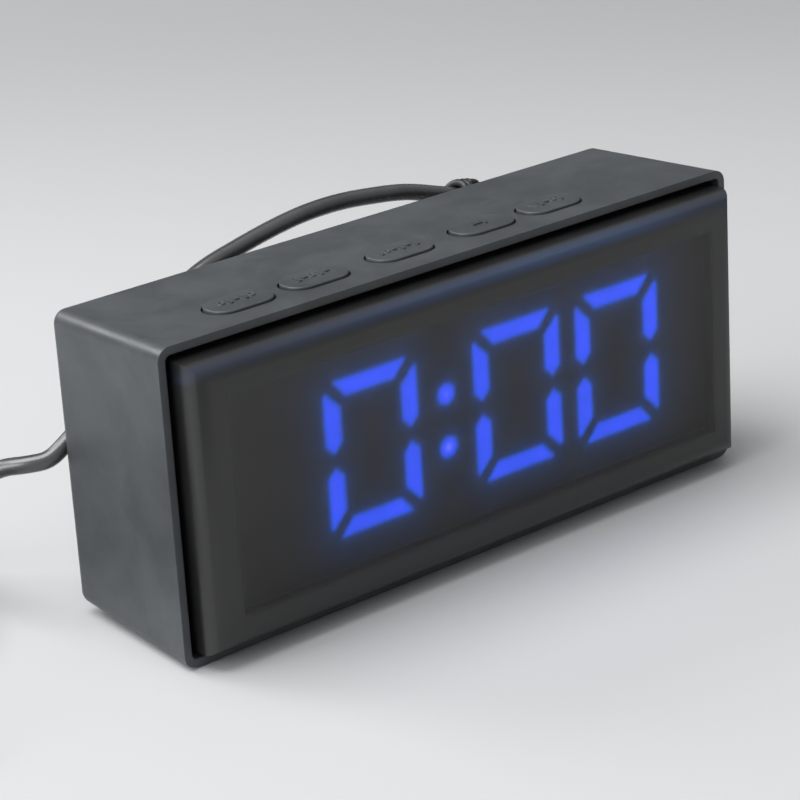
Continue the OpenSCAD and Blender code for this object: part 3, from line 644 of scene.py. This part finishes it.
class CLOCK_OT_studio(bpy.types.Operator):
    """Makes the floor, the backdrop, the lamps and the camera"""

    bl_idname = "clock.studio"
    bl_label = "Studio"

    def execute(self, context):
        set_up = studio()
        form = bmesh.new()
        wide, front, back, high, bend, steps = 6.0, -3.0, 1.6, 3.0, 0.9, 24
        profile = [form.verts.new((-wide / 2, front, 0.0))]
        for k in range(steps + 1):
            a = math.pi / 2 * k / steps
            y, z = back - bend + bend * math.sin(a), bend - bend * math.cos(a)
            profile.append(form.verts.new((-wide / 2, y, z)))
        profile.append(form.verts.new((-wide / 2, back, high)))
        edges = [form.edges.new((a, b)) for a, b in zip(profile, profile[1:])]
        pulled = bmesh.ops.extrude_edge_only(form, edges=edges)["geom"]
        bmesh.ops.translate(
            form, vec=(wide, 0, 0), verts=[g for g in pulled if isinstance(g, bmesh.types.BMVert)]
        )
        bmesh.ops.recalc_face_normals(form, faces=form.faces)
        mesh = bpy.data.meshes.new("sweep")
        form.to_mesh(mesh)
        form.free()
        mesh.shade_smooth()
        sweep = bpy.data.objects.new("sweep", mesh)
        context.scene.collection.objects.link(sweep)
        paper, tree, shader, where = new_material("Backdrop paper")
        cloudy = noise(tree, where, 5.0, 3.0)
        pale = tuple(set_up.floor)
        even = tint(tree, span(tree, cloudy, 0.2, 0.8), tuple(c * 0.97 for c in pale), pale)
        away = add(tree, "ShaderNodeVectorMath", operation="DOT_PRODUCT")
        away.inputs[1].default_value = (0.62, 0.78, 0.0)
        tree.links.new(where, away.inputs[0])
        # painted shade: the backdrop darkens the farther back it lies from the camera
        painted_far_shade = span(tree, away.outputs["Value"], 0.06, 0.36)
        tree.links.new(tint(tree, painted_far_shade, even, tuple(c * 0.72 for c in pale)), shader.inputs["Base Color"])
        shader.inputs["Roughness"].default_value = 0.6
        mesh.materials.append(paper)

        world = bpy.data.worlds.new("Surround")
        world.use_nodes = True
        context.scene.world = world
        tree = world.node_tree
        sky = tree.nodes["Background"]
        where = add(tree, "ShaderNodeTexCoord").outputs["Generated"]
        leaning = add(tree, "ShaderNodeVectorMath", operation="DOT_PRODUCT")
        leaning.inputs[1].default_value = Vector((-0.62, 0.45, 0.64)).normalized()
        tree.links.new(where, leaning.inputs[0])
        strength = span(tree, leaning.outputs["Value"], -0.9, 0.8, set_up.sky * 0.3, set_up.sky)
        tree.links.new(strength, sky.inputs["Strength"])
        sky.inputs["Color"].default_value = (0.97, 0.98, 1.0, 1.0)

        self.lamp(context, "key_lamp", (-0.35, 0.15, 1.0), 0.9, set_up.key_power, (1.0, 0.99, 0.97))
        self.lamp(context, "side_lamp", (-1.0, -0.05, 0.45), 0.7, set_up.side_power, (0.95, 0.98, 1.0))
        self.lamp(context, "back_lamp", (-0.36, 0.74, 0.58), 0.4, set_up.back_power, (0.97, 0.98, 1.0))

        turn, tilt = set_up.camera_turn, set_up.camera_tilt
        away = Vector((math.sin(turn) * math.cos(tilt), -math.cos(turn) * math.cos(tilt), math.sin(tilt)))
        eye = bpy.data.cameras.new("camera")
        eye.lens = set_up.camera_lens
        eye.sensor_width = 36.0
        eye.clip_start, eye.clip_end = 0.01, 20.0
        camera = bpy.data.objects.new("camera", eye)
        context.scene.collection.objects.link(camera)
        camera.location = Vector(set_up.camera_aim) + away * set_up.camera_distance
        camera.rotation_mode = "QUATERNION"
        camera.rotation_quaternion = away.to_track_quat("Z", "Y") @ Quaternion((0, 0, 1), set_up.camera_roll)
        context.scene.camera = camera
        context.scene.view_settings.view_transform = "Standard"
        return {"FINISHED"}

    def lamp(self, context, name, place_at, size, power, colour):
        """A large soft lamp that faces the clock."""
        light = bpy.data.lights.new(name, "AREA")
        light.shape = "DISK"
        light.size = size
        light.energy = power
        light.color = colour
        lamp = bpy.data.objects.new(name, light)
        context.scene.collection.objects.link(lamp)
        lamp.location = place_at
        lamp.rotation_mode = "QUATERNION"
        lamp.rotation_quaternion = Vector(place_at).to_track_quat("Z", "Y")
        lamp.visible_camera = False


class CLOCK_OT_cord(bpy.types.Operator):
    """Makes the supply cord with its coil, its ties, the strain relief and the plug"""

    bl_idname = "clock.cord"
    bl_label = "Supply cord"

    def execute(self, context):
        thick = sizes().cord_diameter
        finish = jacket("Cord jacket", tuple(colours().cord))
        wound = coil_line(thick / MM)
        lead = smooth_path([Vector(p) for p in LEAD] + [wound[0]], SPAN_STEPS)
        tail = smooth_path([wound[-1]] + [Vector(p) for p in TAIL], SPAN_STEPS)
        line = [p * MM for p in lead[:-1] + wound + tail[1:]]
        cord = tube(
            "supply_cord", line, thick / 2, finish, "clock",
            replaces=("cord_lead", "cord_coil", "cord_tail"), sides=5,
        )
        dress(["strain_relief"], plastic("Strain relief rubber", (0.028, 0.028, 0.029), 0.5, edge=0.2 * MM))
        dress(["plug_body"], plastic("Plug rubber", (0.026, 0.026, 0.028), 0.46, edge=0.3 * MM))
        steel = metal("Plug shell steel", (0.72, 0.72, 0.74), 0.26, (40.0, 1.0, 40.0), 0.1 * MM)
        dress(["plug_shell"], steel)
        dress(["plug_tongue"], plastic("Plug tongue", (0.75, 0.74, 0.7), 0.5))
        dress(["plug_contacts"], metal("Plug contacts", (0.86, 0.66, 0.3), 0.24))
        tie = self.lead_tie([p * MM for p in lead], thick)
        band = self.coil_tie(thick)
        return {"FINISHED"}

    def lead_tie(self, lead, thick):
        """A thick coated wire wound over twice round the arch of the cord, with a short bent end."""
        at = TIE_AT * SPAN_STEPS
        middle = lead[at]
        along = (lead[at - 2] - lead[at + 2]).normalized()
        up = (Vector((0, 0, 1)) - along * along.z).normalized()
        side = along.cross(up)
        wire, pitch, steps = 0.6 * MM, 1.2 * MM, 24
        line = []
        for k in range(57):
            turn = k / steps
            a = 2 * math.pi * turn - 0.6 * math.pi
            reach = thick / 2 + wire * (1.35 + 0.3 * math.sin(2.1 * a))
            out = up * math.cos(a) + side * math.sin(a)
            line.append(middle + along * (turn - 1.75) * pitch + out * reach)
        end = line[-1]
        bend = [
            end, end + along * 0.45 * MM + up * 0.05 * MM, end + along * 1.0 * MM,
            end + along * 1.6 * MM - up * 0.35 * MM, end + along * 1.9 * MM - up * 1.2 * MM,
        ]
        finish = plastic(
            "Tie coating", (0.009, 0.009, 0.01), 0.4, fineness=3000.0, depth=0.01 * MM, dust=0.1
        )
        whole = line + smooth_path(bend, 5)[1:]
        return tube(
            "lead_tie_wire", whole, wire, finish, "clock", replaces=("lead_tie",), sides=4
        )

    def coil_tie(self, thick):
        """A thin wire of the same finish, five times round one side of the coil."""
        low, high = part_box("coil_tie")
        wire = 0.24 * MM
        cx, cy, cz = (low + high) / 2
        half_y, half_z = (high.y - low.y) / 2 - wire, (high.z - low.z) / 2 - wire
        corner, pitch, turns = 1.3 * MM, 0.48 * MM, 5
        ring = []
        for sx, sz, start in ((1, 1, 0), (-1, 1, 90), (-1, -1, 180), (1, -1, 270)):
            for k in range(7):
                a = math.radians(start + 15 * k)
                y, z = sx * (half_y - corner), sz * (half_z - corner)
                ring.append((y + corner * math.cos(a), z + corner * math.sin(a)))
        line = []
        for turn in range(turns):
            for k, (y, z) in enumerate(ring):
                x = (turn + k / len(ring) - turns / 2) * pitch
                line.append(Vector((cx + x, cy + y, cz + z)))
        finish = bpy.data.materials["Tie coating"]
        return tube(
            "coil_tie_wire", line, wire, finish, "clock", replaces=("coil_tie",), sides=3
        )


class CLOCK_OT_case(bpy.types.Operator):
    """Finishes the case, the back cover, its screws, the cell cap, the label and the feet"""

    bl_idname = "clock.case"
    bl_label = "Case and back"

    def execute(self, context):
        edge = sizes().edge_round
        tone = tuple(colours().case)
        dress(["case_shell"], plastic("Case plastic", tone, 0.44, edge=edge, dust=0.3))
        dress(
            ["rear_cover"], plastic("Cover plastic", tone, 0.5, fineness=1700.0, depth=0.05 * MM, edge=edge)
        )
        dress(["cell_cap"], plastic("Cap plastic", tone, 0.46, edge=edge))
        dress(["cover_screws"], metal("Blackened screws", (0.2, 0.2, 0.21), 0.36, edge=0.15 * MM))
        dress(["rating_label"], foil_label("Label foil"))
        rubber = (0.022, 0.022, 0.022)
        dress(["feet"], plastic("Foot rubber", rubber, 0.8, fineness=1500.0, dust=0.4, edge=0.2 * MM))
        return {"FINISHED"}


class CLOCK_OT_lens(bpy.types.Operator):
    """Makes the smoked lens and finishes the mask behind it"""

    bl_idname = "clock.lens"
    bl_label = "Lens"

    def execute(self, context):
        low, high, bend = LENS_LOW, LENS_HIGH, sizes().lens_round
        form = bmesh.new()
        bmesh.ops.create_cube(form, size=1.0)
        bmesh.ops.scale(form, vec=high - low, verts=form.verts)
        bmesh.ops.translate(form, vec=(low + high) / 2, verts=form.verts)
        rim = [e for e in form.edges if all(v.co.y < low.y + 1e-6 for v in e.verts)]
        bmesh.ops.bevel(
            form, geom=rim, offset=bend, segments=14, profile=0.5, affect="EDGES", material=-1
        )
        back = [f for f in form.faces if all(v.co.y > high.y - 1e-6 for v in f.verts)]
        bmesh.ops.inset_region(form, faces=back, thickness=sizes().lens_wall, use_even_offset=True)
        pushed = bmesh.ops.extrude_face_region(form, geom=back)["geom"]
        bmesh.ops.delete(form, geom=back, context="FACES_ONLY")
        depth = high.y - low.y - sizes().lens_wall
        bmesh.ops.translate(
            form, vec=(0, -depth, 0), verts=[g for g in pushed if isinstance(g, bmesh.types.BMVert)]
        )
        bmesh.ops.recalc_face_normals(form, faces=form.faces)
        settle(
            "window_lens", form, smoked_lens("Smoked lens", tuple(colours().lens), (0.2, 0.42, 1.0)),
            "clock", replaces=("front_lens",), sharp=50.0,
        )
        dress(["display_mask"], plastic("Mask plastic", (0.006, 0.006, 0.006), 0.8, dust=0.0))
        return {"FINISHED"}


# how far the end of a bar stays from the corner or the middle of its digit
MITRE = 0.8 * MM
# the colon's dots: up and down from the middle, and their radius
DOT_RISE = 4.1 * MM
DOT_RADIUS = 1.8 * MM


def bar_shapes():
    """The lit outlines of a zero, its lower left corner at the origin, each as a convex list of points."""
    wide, tall = sizes().digit_width, sizes().digit_height
    upright, level = sizes().bar_upright, sizes().bar_level
    top = [
        (MITRE + 0.7 * MM, tall), (wide - MITRE - 0.7 * MM, tall),
        (wide - upright - MITRE, tall - level), (upright + MITRE, tall - level),
    ]
    side = [
        (0, tall - MITRE - 1.3 * MM), (0.6 * MM, tall - MITRE - 0.6 * MM), (upright, tall - upright - MITRE),
        (upright, tall / 2 + upright / 2 + MITRE), (upright / 2, tall / 2 + MITRE),
        (0, tall / 2 + upright / 2 + MITRE),
    ]
    shapes = [top, [(x, tall - y) for x, y in top]]
    for flip_x in (False, True):
        for flip_y in (False, True):
            shapes.append([(wide - x if flip_x else x, tall - y if flip_y else y) for x, y in side])
    return shapes


def inset(shape, by):
    """The same convex outline with every side moved inward."""
    made = []
    for before, at, after in zip(shape[-1:] + shape[:-1], shape, shape[1:] + shape[:1]):
        come, go = (Vector(at) - Vector(before)).normalized(), (Vector(after) - Vector(at)).normalized()
        made.append(tuple(Vector(at) + (go - come) * by / abs(come.cross(go))))
    return made


def outside(shape, x, y):
    """Signed distance from a point to a polygon, below zero inside."""
    best, inside = 1e9, False
    for (ax, ay), (bx, by) in zip(shape, shape[1:] + shape[:1]):
        ex, ey, px, py = bx - ax, by - ay, x - ax, y - ay
        t = min(1.0, max(0.0, (px * ex + py * ey) / (ex * ex + ey * ey)))
        best = min(best, math.hypot(px - ex * t, py - ey * t))
        if (ay > y) != (by > y) and x < (bx - ax) * (y - ay) / (by - ay) + ax:
            inside = not inside
    return -best if inside else best


class CLOCK_OT_display(bpy.types.Operator):
    """Makes the film that shows the lit digits and the colon, and finishes the display's other pieces"""

    bl_idname = "clock.display"
    bl_label = "Display"

    def execute(self, context):
        s = sizes()
        low, high = FILM_LOW, FILM_HIGH
        wide, tall, step = high.x - low.x, high.z - low.z, 0.3 * MM
        form = bmesh.new()
        bmesh.ops.create_grid(
            form, x_segments=round(wide / step), y_segments=round(tall / step), size=0.5
        )
        bmesh.ops.rotate(form, matrix=Matrix.Rotation(math.pi / 2, 3, "X"), verts=form.verts)
        bmesh.ops.scale(form, vec=(wide, 1.0, tall), verts=form.verts)
        middle = ((low.x + high.x) / 2, low.y, (low.z + high.z) / 2)
        bmesh.ops.translate(form, vec=middle, verts=form.verts)
        glow = form.verts.layers.float.new("glow")
        middle_z = (LIT_LOW.z + LIT_HIGH.z) / 2
        shapes = [inset(shape, s.bar_round) for shape in bar_shapes()]
        for vert in form.verts:
            vert[glow] = self.glow_at(vert.co.x - s.display_middle, vert.co.z - middle_z, shapes)
        rim = [e for e in form.edges if e.is_boundary]
        pulled = bmesh.ops.extrude_edge_only(form, edges=rim)["geom"]
        behind = [g for g in pulled if isinstance(g, bmesh.types.BMVert)]
        bmesh.ops.translate(form, vec=(0, 0.2 * MM, 0), verts=behind)
        bmesh.ops.holes_fill(form, edges=[e for e in form.edges if e.is_boundary], sides=0)
        for vert in behind:
            vert[glow] = 0.0
        settle(
            "display_film", form, lit_film("Lit film", tuple(colours().light), colours().light_power),
            "clock", replaces=("diffuser_film",),
        )
        lit, tree, shader, where = new_material("Lit guides")
        hot = noise(tree, where, 400.0, 2.0)
        blue = tint(tree, span(tree, hot, 0.2, 0.8), (0.05, 0.09, 0.8), (0.08, 0.14, 1.0))
        tree.links.new(blue, shader.inputs["Emission Color"])
        shader.inputs["Emission Strength"].default_value = 2.0
        shader.inputs["Base Color"].default_value = (0.2, 0.25, 0.6, 1.0)
        dress(["segments_lit", "colon_dots"], lit)
        dress(["segments_unlit"], plastic("Unlit guides", (0.1, 0.1, 0.11), 0.4, dust=0.0))
        dress(["light_box"], plastic("Light box plastic", (0.02, 0.02, 0.02), 0.6, dust=0.0))
        return {"FINISHED"}

    def glow_at(self, x, z, shapes):
        """How much light leaves the film there: blurred bars and dots in a faint halo."""
        s = sizes()
        away = 1.0
        for centre in (-s.colon_pitch, s.colon_pitch, s.colon_pitch + s.digit_pitch):
            u, v = x - centre + s.digit_width / 2, z + s.digit_height / 2
            if -s.halo_reach < u < s.digit_width + s.halo_reach:
                away = min(away, min(outside(shape, u, v) for shape in shapes) - s.bar_round)
        dot = min(math.hypot(x, z - place_at) for place_at in (-DOT_RISE, DOT_RISE))
        away = min(away, dot - DOT_RADIUS)
        core = 0.8 * (1 - ease((away + 0.1 * MM) / s.glow_blur + 0.5))
        near = max(0.0, 1 - max(0.0, away) / s.halo_reach)
        halo = 0.1 * near ** 2 + 0.1 * max(0.0, 1 - max(0.0, away) / (2.4 * MM)) ** 2
        centre = 0.2 * (1 - ease(dot / (1.5 * MM)))
        return min(1.0, max(core, halo) + centre)


class CLOCK_OT_keys(bpy.types.Operator):
    """Makes the five key caps with their raised marks"""

    bl_idname = "clock.keys"
    bl_label = "Keys"

    def execute(self, context):
        tone = tuple(colours().case)
        finish = plastic("Key plastic", tone, 0.42, dust=0.25, depth=0.02 * MM)
        for index, node in enumerate(KEYS):
            low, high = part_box(node)
            x, y = (low.x + high.x) / 2, (low.y + high.y) / 2
            long, wide = high.x - low.x - 2 * FLANGE, high.y - low.y - 2 * FLANGE
            top = high.z - CAD_MARK
            form = bmesh.new()
            rounded_bar(
                form, (long, wide, top - low.z), (x, y, (top + low.z) / 2), wide / 2 - 0.02 * MM,
                sizes().key_round, 12, 4,
            )
            rounded_bar(
                form, (long + 2 * FLANGE, wide + 2 * FLANGE, 0.9 * MM), (x, y, low.z + 0.45 * MM),
                wide / 2 + FLANGE - 0.02 * MM, 0, 10,
            )
            self.marks(form, MARKS[index], x, y, top)
            number = index + 1
            settle(
                "key_cap_%d" % number, form, finish, "key_%d" % number, replaces=(node,)
            )
        return {"FINISHED"}

    def marks(self, form, row, x, y, top):
        """The raised marks of one key: a row of plain shapes."""
        height, soft, sunk = sizes().key_crown, 0.06 * MM, 0.1 * MM
        z, tall = top + (height - sunk) / 2, height + sunk
        for i, kind in enumerate(row):
            mx, my = x + (i - (len(row) - 1) / 2) * MARK_PITCH, y + MARK_BACK
            if kind == "ring":
                ring = bmesh.ops.create_circle(form, segments=8, radius=0.2 * MM, cap_ends=False)["verts"]
                bmesh.ops.rotate(form, matrix=Matrix.Rotation(math.pi / 2, 3, "X"), verts=ring)
                bmesh.ops.translate(form, vec=(mx + 0.46 * MM, my, top), verts=ring)
                edges = list({e for v in ring for e in v.link_edges})
                bmesh.ops.spin(
                    form, geom=ring + edges, cent=(mx, my, top), axis=(0, 0, 1), angle=2 * math.pi,
                    steps=24, use_merge=True,
                )
            elif kind == "bar":
                rounded_bar(form, (0.54 * MM, 1.9 * MM, tall), (mx, my, z), 0.2 * MM, soft, 3, 2)
            elif kind == "dash":
                rounded_bar(form, (0.9 * MM, 0.6 * MM, tall), (mx, my, z), 0.2 * MM, soft, 3, 2)
            else:
                made = bmesh.ops.create_cone(
                    form, cap_ends=True, cap_tris=False, segments=3,
                    radius1=1.05 * MM, radius2=0.92 * MM, depth=tall,
                )["verts"]
                turn = 0.0 if kind == "rise" else math.pi
                bmesh.ops.rotate(form, matrix=Matrix.Rotation(turn, 3, "Z"), verts=made)
                bmesh.ops.translate(form, vec=(mx, my, z), verts=made)


class CLOCK_OT_inside(bpy.types.Operator):
    """Finishes the boards, the parts on them, the switches, the cell and the wires"""

    bl_idname = "clock.inside"
    bl_label = "Inside"

    def execute(self, context):
        lacquer = circuit("Board lacquer", tuple(colours().board))
        dress(["display_board", "main_board", "key_board"], lacquer)
        resin = plastic("Black resin", (0.02, 0.02, 0.021), 0.45)
        dress(["controller", "buzzer", "key_switches", "cell_cup"], resin)
        dress(["key_stems"], plastic("Switch plungers", (0.05, 0.05, 0.05), 0.35, dust=0.0))
        dress(["board_spacers", "supply_socket"], plastic("Cream nylon", (0.72, 0.7, 0.6), 0.45, dust=0.1))
        dress(["led_chips"], plastic("Lamp resin", (0.8, 0.78, 0.55), 0.3, dust=0.0))
        sleeve = plastic("Capacitor sleeve", (0.03, 0.04, 0.12), 0.3, depth=0.01 * MM, dust=0.1)
        dress(["capacitors"], sleeve)
        dress(["supply_wires"], plastic("Wire sleeve", (0.45, 0.02, 0.02), 0.4, depth=0.01 * MM, dust=0.0))
        dress(["key_ribbon"], plastic("Ribbon", (0.35, 0.35, 0.37), 0.5, dust=0.0))
        dress(["board_screws"], metal("Zinc screws", (0.7, 0.7, 0.72), 0.3))
        dress(["controller_legs", "crystal_can"], metal("Tinned metal", (0.76, 0.76, 0.77), 0.25))
        dress(["backup_cell"], metal("Cell steel", (0.74, 0.74, 0.75), 0.2))
        dress(["cell_contacts"], metal("Contact bronze", (0.8, 0.62, 0.3), 0.3))
        return {"FINISHED"}


class CLOCK_PT_panel(bpy.types.Panel):
    """Lists the clock's pieces and settings"""

    bl_label = "Desk alarm clock"
    bl_idname = "CLOCK_PT_panel"
    bl_space_type = "VIEW_3D"
    bl_region_type = "UI"
    bl_category = "Clock"

    def draw(self, context):
        for operator in OPERATORS:
            self.layout.operator(operator.bl_idname)
        for settings in (sizes(), colours(), studio()):
            box = self.layout.box()
            for name in settings.bl_rna.properties.keys():
                if name not in ("rna_type", "name"):
                    box.prop(settings, name)


OPERATORS = (
    CLOCK_OT_studio,
    CLOCK_OT_cord,
    CLOCK_OT_case,
    CLOCK_OT_lens,
    CLOCK_OT_display,
    CLOCK_OT_keys,
    CLOCK_OT_inside,
)
CLASSES = (ClockSizes, ClockColours, ClockStudio, *OPERATORS, CLOCK_PT_panel)


def register():
    for cls in CLASSES:
        bpy.utils.register_class(cls)
    bpy.types.Scene.clock_sizes = bpy.props.PointerProperty(type=ClockSizes)
    bpy.types.Scene.clock_colours = bpy.props.PointerProperty(type=ClockColours)
    bpy.types.Scene.clock_studio = bpy.props.PointerProperty(type=ClockStudio)


def unregister():
    for name in ("clock_sizes", "clock_colours", "clock_studio"):
        delattr(bpy.types.Scene, name)
    for cls in reversed(CLASSES):
        bpy.utils.unregister_class(cls)


def main():
    register()
    bpy.ops.clock.studio()
    bpy.ops.clock.cord()
    bpy.ops.clock.case()
    bpy.ops.clock.lens()
    bpy.ops.clock.display()
    bpy.ops.clock.keys()
    bpy.ops.clock.inside()


if __name__ == "__main__":
    main()
